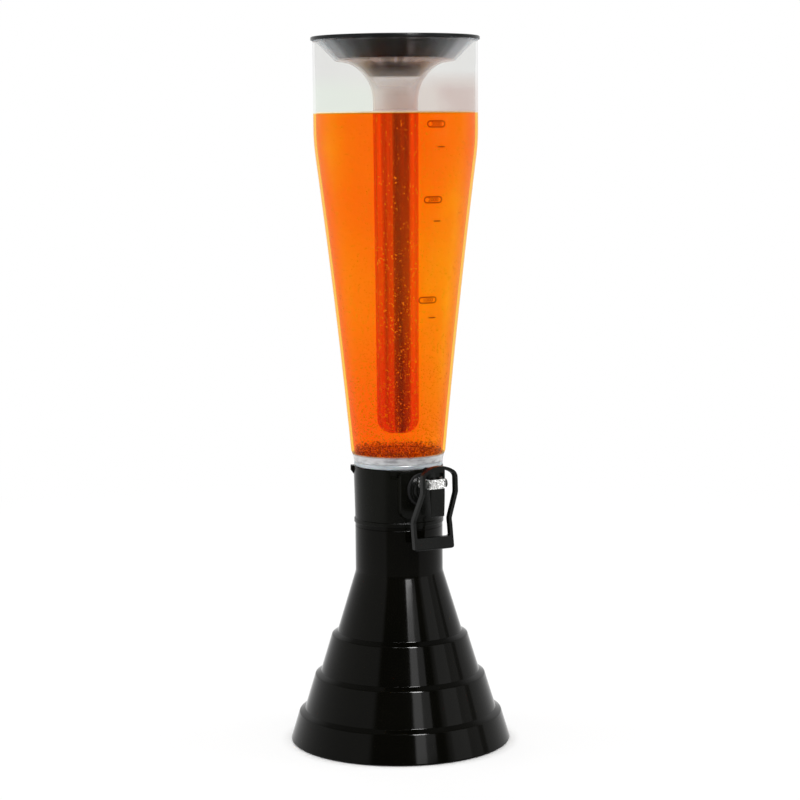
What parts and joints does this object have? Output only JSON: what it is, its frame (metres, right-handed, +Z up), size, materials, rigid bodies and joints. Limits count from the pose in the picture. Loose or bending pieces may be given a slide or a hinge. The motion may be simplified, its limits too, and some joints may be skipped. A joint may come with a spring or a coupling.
{
  "type": "beer tower dispenser",
  "caption": "Table-top drink tower: clear flared tank with a central ice tube and nesting lid, on a stepped base with a push-lever tap in its collar.",
  "frame": {"origin": "centre of the base where it stands on the table", "axes": "+Z up along the tower's axis, the tap points along -Y, +X to the right of someone facing the tap"},
  "size_m": [0.199, 0.1988, 0.6332],
  "materials": {
    "black_gloss": "gloss moulded",
    "black_satin": "satin moulded",
    "lid_black": "gloss moulded",
    "black_rubber": "matt rubber",
    "clear_tank": "clear moulded plastic, polished",
    "clear_ice_tube": "clear moulded plastic, lightly frosted",
    "clear_silicone": "translucent silicone",
    "silver_trim": "bright textured trim",
    "steel": "plain steel",
    "nut_plastic": "plain moulded"
  },
  "bodies": {
    "stand": {"base_shell": "black_gloss", "foot_pads": "black_rubber", "tap_collar": "black_gloss", "collar_screws": "steel", "tap_outer_washer": "black_rubber", "tap_inner_seal": "clear_silicone", "shank_nut": "nut_plastic", "tap_body": "black_satin", "spout_nozzle": "black_satin", "head_band": "silver_trim", "stem_seal": "clear_silicone", "return_spring": "steel"},
    "lever": {"lever": "black_satin", "pivot_pin": "steel"},
    "valve": {"valve_stem": "steel", "valve_plug": "clear_silicone", "lift_pin": "steel"},
    "tank_seal": {"tank_seal_ring": "clear_silicone"},
    "tank": {"tank": "clear_tank"},
    "ice_tube": {"ice_tube": "clear_ice_tube"},
    "lid": {"lid": "lid_black"}
  },
  "joints": [
    {"name": "lever_pivot", "type": "hinge", "parent": "stand", "child": "lever", "pos_m": [0, -0.0639, 0.2424], "axis": [1, 0, 0], "range_deg": [0, 16], "stiffness_Nm_per_rad": 0.1, "springref_deg": -11.46},
    {"name": "valve_lift", "type": "slide", "parent": "stand", "child": "valve", "axis": [0, 0, 1], "range_m": [0, 0.00222], "deforming": ["return_spring"]},
    {"name": "tank_rise", "type": "slide", "parent": "stand", "child": "tank_seal", "axis": [0, 0, 1], "range_m": [0, 0.0051]},
    {"name": "tank_turn", "type": "hinge", "parent": "tank_seal", "child": "tank", "pos_m": [0, 0, 0.2564], "axis": [0, 0, 1], "range_deg": [0, 360]},
    {"name": "ice_tube_lift", "type": "slide", "parent": "tank", "child": "ice_tube", "axis": [0, 0, 1], "range_m": [0, 0.36]},
    {"name": "lid_lift", "type": "slide", "parent": "ice_tube", "child": "lid", "axis": [0, 0, 1], "range_m": [0, 0.06]}
  ],
  "couplings": [
    {"joint": "valve_lift", "follows": "lever_pivot", "m_per_rad": 0.00771},
    {"joint": "tank_rise", "follows": "tank_turn", "m_per_rad": 0.00079577}
  ]
}
